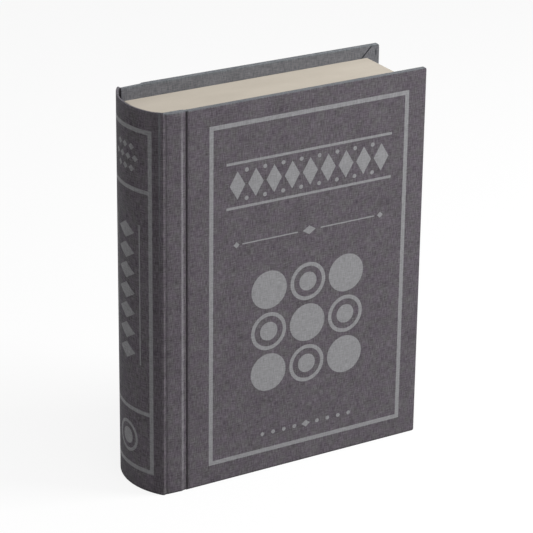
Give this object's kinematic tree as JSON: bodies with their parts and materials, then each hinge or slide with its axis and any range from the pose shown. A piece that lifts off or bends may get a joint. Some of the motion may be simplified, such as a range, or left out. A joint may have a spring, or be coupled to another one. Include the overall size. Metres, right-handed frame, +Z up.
{
  "type": "book-shaped board game case",
  "caption": "Cloth-bound book-shaped game case with a hinged front cover, a folding checkers and backgammon board, and a foam tray of checkers, dice, dice cups and a doubling cube.",
  "frame": {"origin": "middle of the standing case's box, at its foot", "axes": "+Z up from tail to head, -Y out of the front cover, -X out of the spine"},
  "size_m": [0.189, 0.055, 0.241],
  "materials": {
    "binding_cloth": "fine linen book cloth, charcoal grey",
    "binder_board": "raw grey board",
    "lining_paper": "plain laid paper",
    "page_paper": "smooth cream paper",
    "tray_board": "black-cored board lined with paper",
    "game_board": "printed board, satin",
    "hinge_tape": "woven cotton tape",
    "flocked_foam": "foam with a short black flock",
    "leaflet_paper": "folded uncoated paper",
    "light_wood": "turned wood, clear satin varnish",
    "dark_wood": "turned wood stained near black, satin varnish",
    "cup_leather": "grained black leather",
    "tan_leather": "grained brown leather",
    "ivory_plastic": "polished resin",
    "black_plastic": "polished resin"
  },
  "bodies": {
    "case": {"back_cover_board": "binder_board", "front_joint_strip": "binder_board", "back_joint_strip": "binder_board", "spine_card": "binder_board", "back_cover_cloth": "binding_cloth", "spine_cloth": "binding_cloth", "front_hinge_cloth": "binding_cloth", "back_hinge_cloth": "binding_cloth", "page_edge_paper": "page_paper", "tray_floor": "tray_board", "head_wall": "tray_board", "tail_wall": "tray_board", "fore_edge_wall": "tray_board", "hinge_wall": "tray_board", "spine_wall": "tray_board", "foam_insert": "flocked_foam", "rules_leaflet": "leaflet_paper", "light_dice_cup": "tan_leather", "dark_dice_cup": "cup_leather", "light_die_1": "ivory_plastic", "light_die_2": "ivory_plastic", "dark_die_1": "black_plastic", "dark_die_2": "black_plastic", "doubling_cube": "ivory_plastic", "light_checker_01": "light_wood", "dark_checker_01": "dark_wood", "light_checker_02": "light_wood", "dark_checker_02": "dark_wood", "light_checker_03": "light_wood", "dark_checker_03": "dark_wood", "light_checker_04": "light_wood", "dark_checker_04": "dark_wood", "light_checker_05": "light_wood", "dark_checker_05": "dark_wood", "light_checker_06": "light_wood", "dark_checker_06": "dark_wood", "light_checker_07": "light_wood", "dark_checker_07": "dark_wood", "light_checker_08": "light_wood", "dark_checker_08": "dark_wood", "light_checker_09": "light_wood", "dark_checker_09": "dark_wood", "light_checker_10": "light_wood", "dark_checker_10": "dark_wood", "light_checker_11": "light_wood", "dark_checker_11": "dark_wood", "light_checker_12": "light_wood", "dark_checker_12": "dark_wood", "light_checker_13": "light_wood", "dark_checker_13": "dark_wood", "light_checker_14": "light_wood", "dark_checker_14": "dark_wood", "light_checker_15": "light_wood", "dark_checker_15": "dark_wood"},
    "front_cover": {"front_cover_board": "binder_board", "front_cover_cloth": "binding_cloth", "front_lining_paper": "lining_paper"},
    "board_lower_half": {"board_lower_leaf": "game_board", "board_hinge_tape": "hinge_tape"},
    "board_upper_half": {"board_upper_leaf": "game_board"}
  },
  "joints": [
    {"name": "cover_hinge", "type": "hinge", "parent": "case", "child": "front_cover", "pos_m": [-0.0686, -0.0279, 0.1205], "axis": [0, 0, -1], "range_deg": [0, 180]},
    {"name": "board_lift", "type": "slide", "parent": "case", "child": "board_lower_half", "axis": [0, -1, 0], "range_m": [0, 0.038]},
    {"name": "board_fold", "type": "hinge", "parent": "board_lower_half", "child": "board_upper_half", "pos_m": [-0.0544, -0.0199, 0.1205], "axis": [0, 0, -1], "range_deg": [0, 180]}
  ],
  "couplings": [
    {"joint": "board_lift", "follows": "cover_hinge", "m_per_rad": 0.012},
    {"joint": "board_fold", "follows": "cover_hinge", "ratio": 1}
  ]
}
